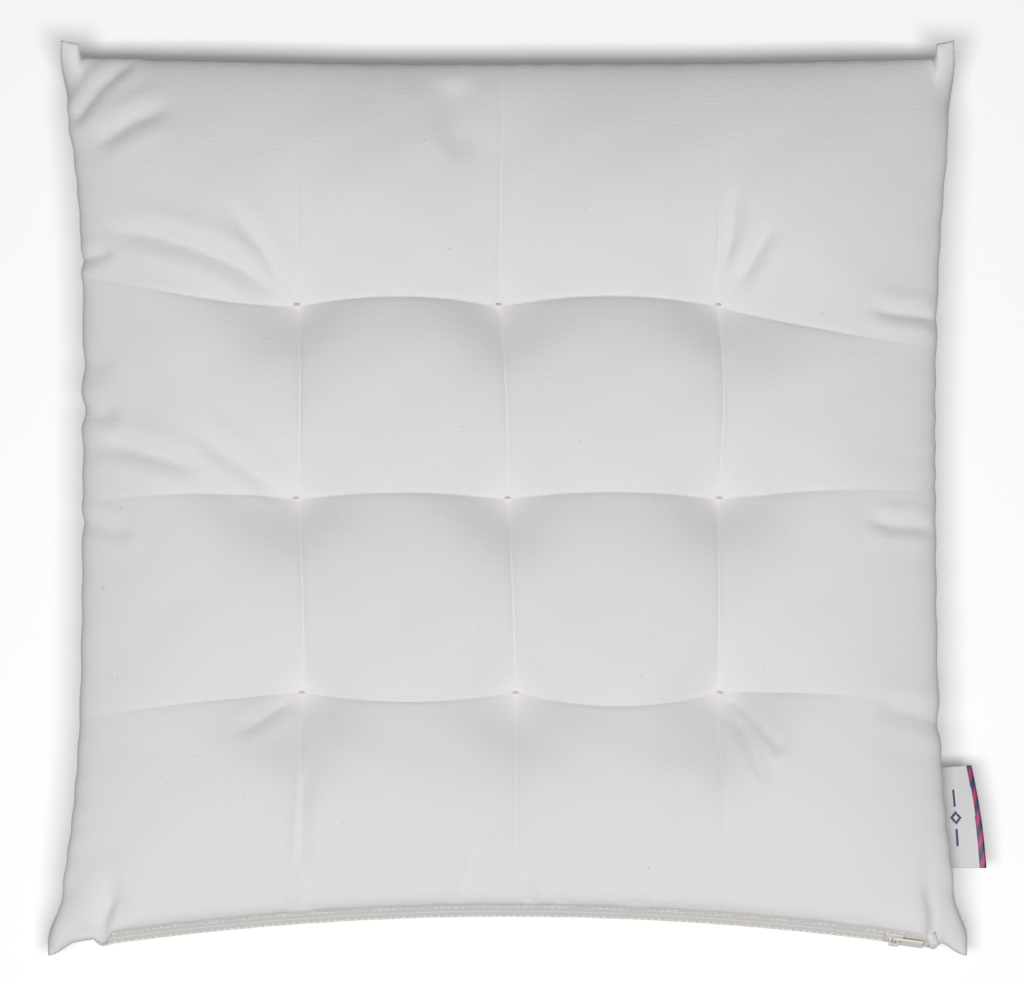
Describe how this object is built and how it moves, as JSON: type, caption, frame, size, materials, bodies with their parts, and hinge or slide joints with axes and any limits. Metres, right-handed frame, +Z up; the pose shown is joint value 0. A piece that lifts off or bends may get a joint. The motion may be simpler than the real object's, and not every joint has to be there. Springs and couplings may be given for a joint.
{
  "type": "chair seat pad",
  "caption": "Square tufted cotton seat pad with pointed corners, fibre filling, a zip in the front seam and a folded woven label in the side seam.",
  "frame": {"origin": "middle of the pad's flat underside", "axes": "+X to the pad's right side, where the label is; -Y to its front, where the zip is; +Z up, out of the seating face"},
  "size_m": [0.4131, 0.4, 0.046],
  "materials": {
    "cotton_cover": "off-white plain-weave cotton, matt",
    "fibre_filling": "loose polyester fibre",
    "tuft_thread": "twisted polyester thread",
    "sewing_thread": "twisted polyester sewing thread",
    "zip_tape": "cream woven polyester tape",
    "zip_coil": "cream nylon monofilament",
    "zip_metal": "cream lacquered zinc alloy",
    "woven_label": "pale satin-woven label with a two-colour striped fold"
  },
  "bodies": {
    "pad": {"cover_bottom_panel": "cotton_cover", "cover_top_panel": "cotton_cover", "edge_seam_thread": "sewing_thread", "fibre_filling": "fibre_filling", "tuft_thread_back_centre": "tuft_thread", "tuft_thread_back_left": "tuft_thread", "tuft_thread_back_right": "tuft_thread", "tuft_thread_front_centre": "tuft_thread", "tuft_thread_front_left": "tuft_thread", "tuft_thread_front_right": "tuft_thread", "tuft_thread_middle_centre": "tuft_thread", "tuft_thread_middle_left": "tuft_thread", "tuft_thread_middle_right": "tuft_thread", "woven_label": "woven_label", "zip_bottom_stop": "zip_metal", "zip_coil_lower": "zip_coil", "zip_coil_upper": "zip_coil", "zip_stitching_lower": "sewing_thread", "zip_stitching_upper": "sewing_thread", "zip_tape_lower": "zip_tape", "zip_tape_upper": "zip_tape", "zip_top_stops": "zip_metal"},
    "slider": {"zip_slider": "zip_metal"},
    "pull": {"zip_pull": "zip_metal"}
  },
  "joints": [
    {"name": "zip_travel", "type": "hinge", "parent": "pad", "child": "slider", "pos_m": [0, -1.442, 0.02067], "axis": [0, 0, 1], "range_deg": [0, 15]},
    {"name": "pull_swing", "type": "hinge", "parent": "slider", "child": "pull", "pos_m": [0.16887, -0.19432, 0.0218], "axis": [-0.0582, -0.4297, -0.9011], "range_deg": [0, 180]}
  ]
}
